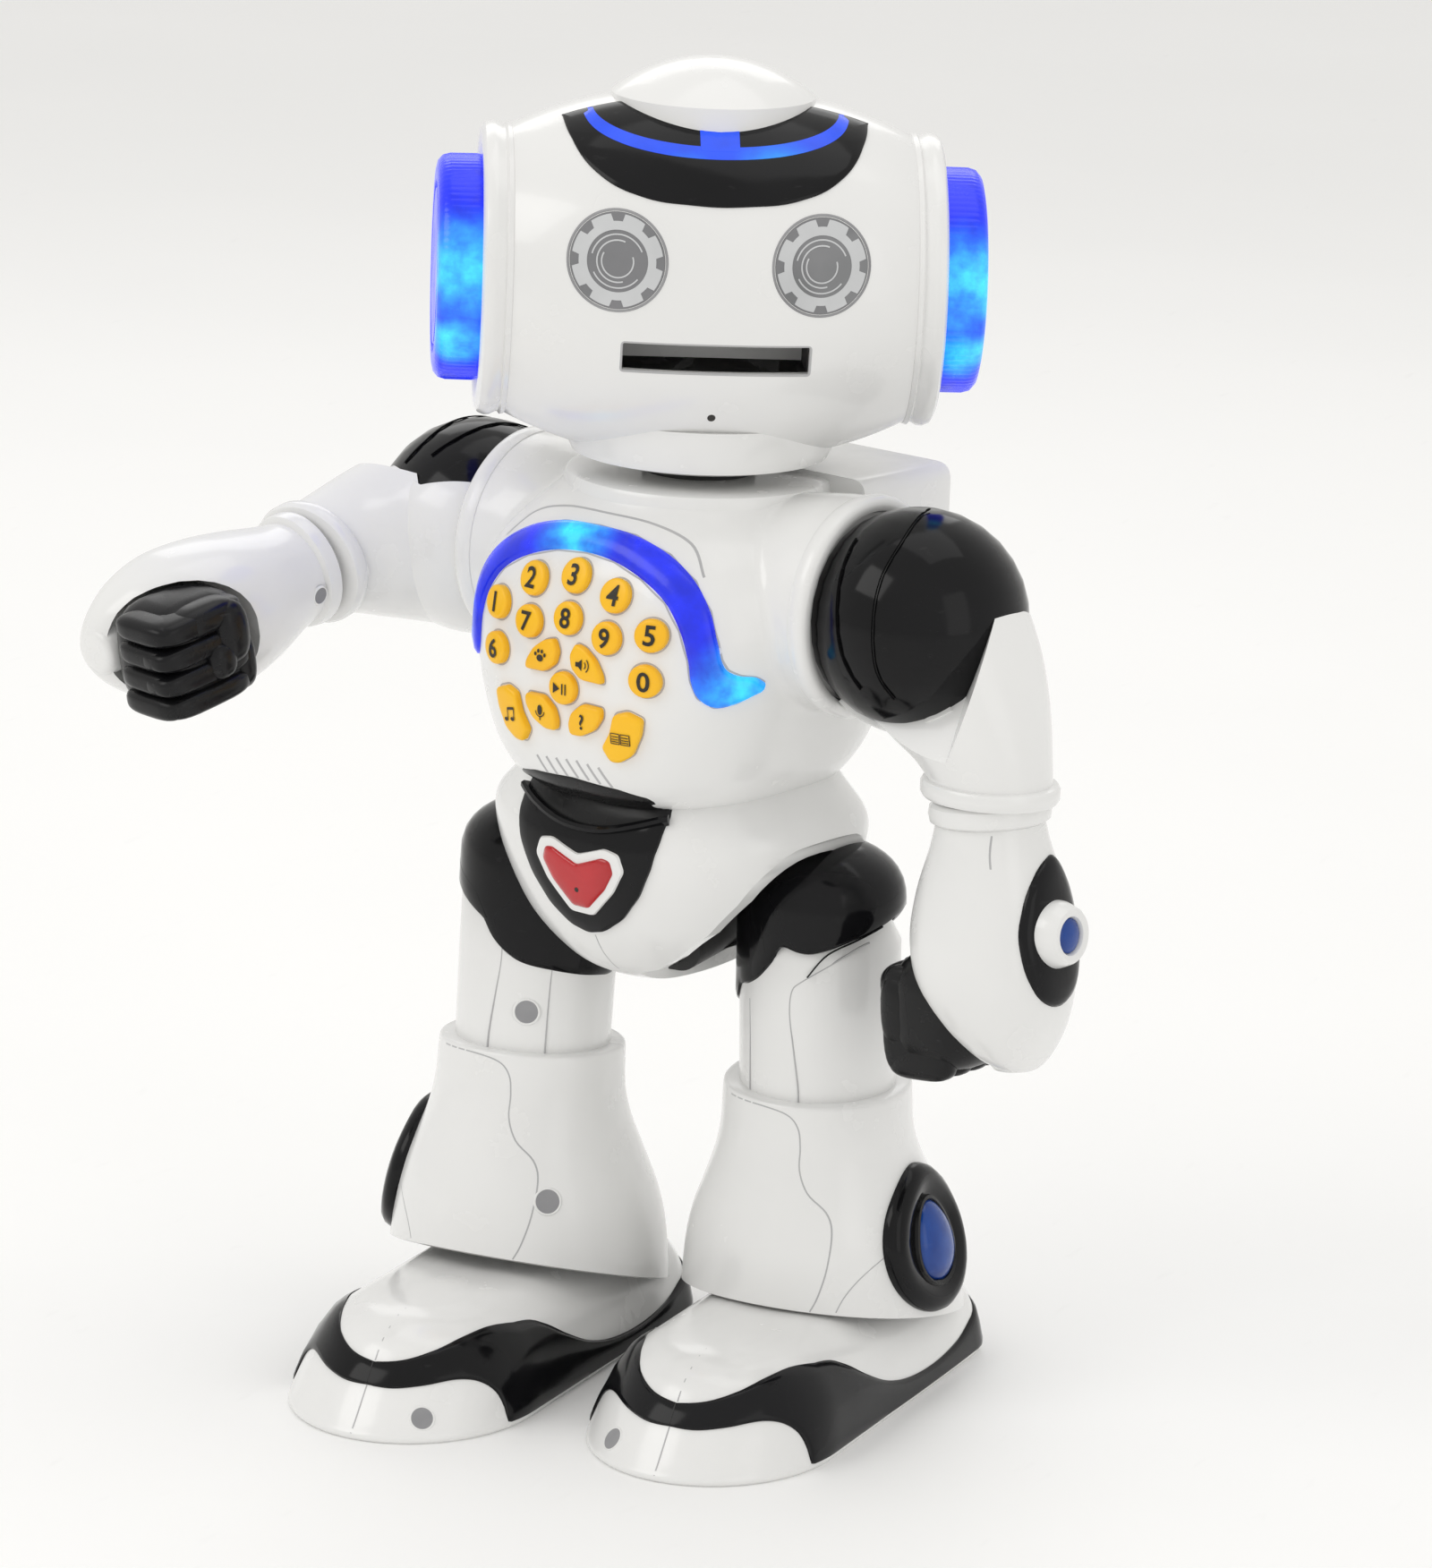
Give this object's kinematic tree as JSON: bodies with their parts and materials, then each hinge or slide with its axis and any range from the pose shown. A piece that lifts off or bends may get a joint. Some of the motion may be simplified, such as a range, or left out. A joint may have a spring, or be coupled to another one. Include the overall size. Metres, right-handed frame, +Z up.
{
  "type": "walking humanoid toy robot",
  "caption": "Standing toy robot with turning head and waist, swinging arms, stepping legs, chest keypad, lit ears and chest, and a disc slot for a mouth.",
  "frame": {"origin": "centre of the bounding box on the floor plane under the feet", "axes": "+Z up; the legs face -Y; +X is the robot's own left side"},
  "size_m": [0.2272, 0.1428, 0.299],
  "materials": {
    "white_shell": "glossy white ABS",
    "black_gloss": "piano black",
    "clear_lens": "clear printed lens",
    "blue_light": "translucent blue, lit from behind",
    "inner_black": "matt black",
    "cell_can": "metal can with a plain sleeve",
    "speaker_black": "paper cone in a black basket",
    "board_green": "solder mask",
    "red_window": "translucent red",
    "yellow_key": "satin yellow",
    "wheel_rubber": "matt rubber"
  },
  "bodies": {
    "hips": {"hip_frame": "inner_black"},
    "torso": {"torso_front_shell": "white_shell", "torso_rear_shell": "white_shell", "battery_cells": "cell_can", "chest_light": "blue_light", "speaker": "speaker_black", "main_board": "board_green", "pelvis_shell": "white_shell", "belly_panel": "black_gloss", "ir_window": "red_window"},
    "battery_door": {"battery_door": "white_shell"},
    "head": {"head_front_shell": "white_shell", "head_rear_shell": "white_shell", "visor": "black_gloss", "eye_lenses": "clear_lens", "ear_rings": "white_shell", "ear_lights": "blue_light", "disc_magazine": "inner_black"},
    "magazine_lid": {"magazine_lid": "white_shell"},
    "key_1": {"key_1": "yellow_key"},
    "key_2": {"key_2": "yellow_key"},
    "key_3": {"key_3": "yellow_key"},
    "key_4": {"key_4": "yellow_key"},
    "key_5": {"key_5": "yellow_key"},
    "key_6": {"key_6": "yellow_key"},
    "key_7": {"key_7": "yellow_key"},
    "key_8": {"key_8": "yellow_key"},
    "key_9": {"key_9": "yellow_key"},
    "key_0": {"key_0": "yellow_key"},
    "key_play": {"key_play": "yellow_key"},
    "key_animal": {"key_animal": "yellow_key"},
    "key_volume": {"key_volume": "yellow_key"},
    "key_mic": {"key_mic": "yellow_key"},
    "key_question": {"key_question": "yellow_key"},
    "key_music": {"key_music": "yellow_key"},
    "key_book": {"key_book": "yellow_key"},
    "left_arm": {"left_shoulder_dome": "black_gloss", "left_upper_arm": "white_shell"},
    "left_hand": {"left_forearm": "white_shell", "left_forearm_badge": "black_gloss", "left_fist": "black_gloss"},
    "left_leg": {"left_thigh": "white_shell", "left_hip_cover": "black_gloss", "left_shin": "white_shell", "left_shin_badge": "black_gloss"},
    "left_foot": {"left_foot_shell": "white_shell", "left_foot_band": "black_gloss"},
    "left_wheels": {"left_drive_wheels": "wheel_rubber"},
    "right_arm": {"right_shoulder_dome": "black_gloss", "right_upper_arm": "white_shell"},
    "right_hand": {"right_forearm": "white_shell", "right_forearm_badge": "black_gloss", "right_fist": "black_gloss"},
    "right_leg": {"right_thigh": "white_shell", "right_hip_cover": "black_gloss", "right_shin": "white_shell", "right_shin_badge": "black_gloss"},
    "right_foot": {"right_foot_shell": "white_shell", "right_foot_band": "black_gloss"},
    "right_wheels": {"right_drive_wheels": "wheel_rubber"}
  },
  "joints": [
    {"name": "waist_turn", "type": "hinge", "parent": "hips", "child": "torso", "pos_m": [0.00774, 0.01707, 0.135], "axis": [0, 0, 1], "range_deg": [0, 28]},
    {"name": "head_turn", "type": "hinge", "parent": "torso", "child": "head", "pos_m": [0.00774, 0.01707, 0.206], "axis": [0, 0, 1], "range_deg": [-87.5, 2.5]},
    {"name": "lid_hinge", "type": "hinge", "parent": "head", "child": "magazine_lid", "pos_m": [-0.00319, 0.03719, 0.286], "axis": [-0.8788, -0.4772, 0], "range_deg": [0, 75]},
    {"name": "battery_door_hinge", "type": "hinge", "parent": "torso", "child": "battery_door", "pos_m": [0.01911, 0.06267, 0.155], "axis": [-0.9703, 0.2419, 0], "range_deg": [0, 100]},
    {"name": "key_1_press", "type": "slide", "parent": "torso", "child": "key_1", "axis": [0.2419, 0.9703, 0], "range_m": [0, 0.001], "stiffness_N_per_m": 150},
    {"name": "key_2_press", "type": "slide", "parent": "torso", "child": "key_2", "axis": [0.2419, 0.9703, 0], "range_m": [0, 0.001], "stiffness_N_per_m": 150},
    {"name": "key_3_press", "type": "slide", "parent": "torso", "child": "key_3", "axis": [0.2419, 0.9703, 0], "range_m": [0, 0.001], "stiffness_N_per_m": 150},
    {"name": "key_4_press", "type": "slide", "parent": "torso", "child": "key_4", "axis": [0.2419, 0.9703, 0], "range_m": [0, 0.001], "stiffness_N_per_m": 150},
    {"name": "key_5_press", "type": "slide", "parent": "torso", "child": "key_5", "axis": [0.2419, 0.9703, 0], "range_m": [0, 0.001], "stiffness_N_per_m": 150},
    {"name": "key_6_press", "type": "slide", "parent": "torso", "child": "key_6", "axis": [0.2419, 0.9703, 0], "range_m": [0, 0.001], "stiffness_N_per_m": 150},
    {"name": "key_7_press", "type": "slide", "parent": "torso", "child": "key_7", "axis": [0.2419, 0.9703, 0], "range_m": [0, 0.001], "stiffness_N_per_m": 150},
    {"name": "key_8_press", "type": "slide", "parent": "torso", "child": "key_8", "axis": [0.2419, 0.9703, 0], "range_m": [0, 0.001], "stiffness_N_per_m": 150},
    {"name": "key_9_press", "type": "slide", "parent": "torso", "child": "key_9", "axis": [0.2419, 0.9703, 0], "range_m": [0, 0.001], "stiffness_N_per_m": 150},
    {"name": "key_0_press", "type": "slide", "parent": "torso", "child": "key_0", "axis": [0.2419, 0.9703, 0], "range_m": [0, 0.001], "stiffness_N_per_m": 150},
    {"name": "key_play_press", "type": "slide", "parent": "torso", "child": "key_play", "axis": [0.2419, 0.9703, 0], "range_m": [0, 0.001], "stiffness_N_per_m": 150},
    {"name": "key_animal_press", "type": "slide", "parent": "torso", "child": "key_animal", "axis": [0.2419, 0.9703, 0], "range_m": [0, 0.001], "stiffness_N_per_m": 150},
    {"name": "key_volume_press", "type": "slide", "parent": "torso", "child": "key_volume", "axis": [0.2419, 0.9703, 0], "range_m": [0, 0.001], "stiffness_N_per_m": 150},
    {"name": "key_mic_press", "type": "slide", "parent": "torso", "child": "key_mic", "axis": [0.2419, 0.9703, 0], "range_m": [0, 0.001], "stiffness_N_per_m": 150},
    {"name": "key_question_press", "type": "slide", "parent": "torso", "child": "key_question", "axis": [0.2419, 0.9703, 0], "range_m": [0, 0.001], "stiffness_N_per_m": 150},
    {"name": "key_music_press", "type": "slide", "parent": "torso", "child": "key_music", "axis": [0.2419, 0.9703, 0], "range_m": [0, 0.001], "stiffness_N_per_m": 150},
    {"name": "key_book_press", "type": "slide", "parent": "torso", "child": "key_book", "axis": [0.2419, 0.9703, 0], "range_m": [0, 0.001], "stiffness_N_per_m": 150},
    {"name": "left_shoulder", "type": "hinge", "parent": "torso", "child": "left_arm", "pos_m": [0.05625, 0.00497, 0.184], "axis": [0.9703, -0.2419, 0], "range_deg": [-130, 20]},
    {"name": "left_elbow", "type": "hinge", "parent": "left_arm", "child": "left_hand", "pos_m": [0.08925, -0.00325, 0.1478], "axis": [-0.1014, 0.0253, 0.9945], "range_deg": [-90, 90]},
    {"name": "right_shoulder", "type": "hinge", "parent": "torso", "child": "right_arm", "pos_m": [-0.04077, 0.02917, 0.184], "axis": [0.9703, -0.2419, 0], "range_deg": [-53, 97]},
    {"name": "right_elbow", "type": "hinge", "parent": "right_arm", "child": "right_hand", "pos_m": [-0.0823, 0.00317, 0.17586], "axis": [0.3359, 0.915, 0.2237], "range_deg": [-90, 90]},
    {"name": "left_hip", "type": "hinge", "parent": "hips", "child": "left_leg", "pos_m": [0.04224, 0.01707, 0.112], "axis": [1, 0, 0], "range_deg": [-7.3, 0.7]},
    {"name": "left_ankle", "type": "hinge", "parent": "left_leg", "child": "left_foot", "pos_m": [0.04224, 0.02202, 0.02614], "axis": [1, 0, 0], "range_deg": [-0.7, 7.3]},
    {"name": "left_wheel_spin", "type": "hinge", "parent": "left_foot", "child": "left_wheels", "pos_m": [0.04224, 0.01402, 0.0073], "axis": [1, 0, 0], "continuous": true},
    {"name": "right_hip", "type": "hinge", "parent": "hips", "child": "right_leg", "pos_m": [-0.02676, 0.01707, 0.112], "axis": [1, 0, 0], "range_deg": [-0.7, 7.3]},
    {"name": "right_ankle", "type": "hinge", "parent": "right_leg", "child": "right_foot", "pos_m": [-0.02676, 0.01212, 0.02614], "axis": [1, 0, 0], "range_deg": [-7.3, 0.7]},
    {"name": "right_wheel_spin", "type": "hinge", "parent": "right_foot", "child": "right_wheels", "pos_m": [-0.02676, 0.00412, 0.0073], "axis": [1, 0, 0], "continuous": true}
  ],
  "couplings": [
    {"joint": "right_hip", "follows": "left_hip", "ratio": -1},
    {"joint": "left_ankle", "follows": "left_hip", "ratio": -1},
    {"joint": "right_ankle", "follows": "left_hip", "ratio": 1}
  ]
}
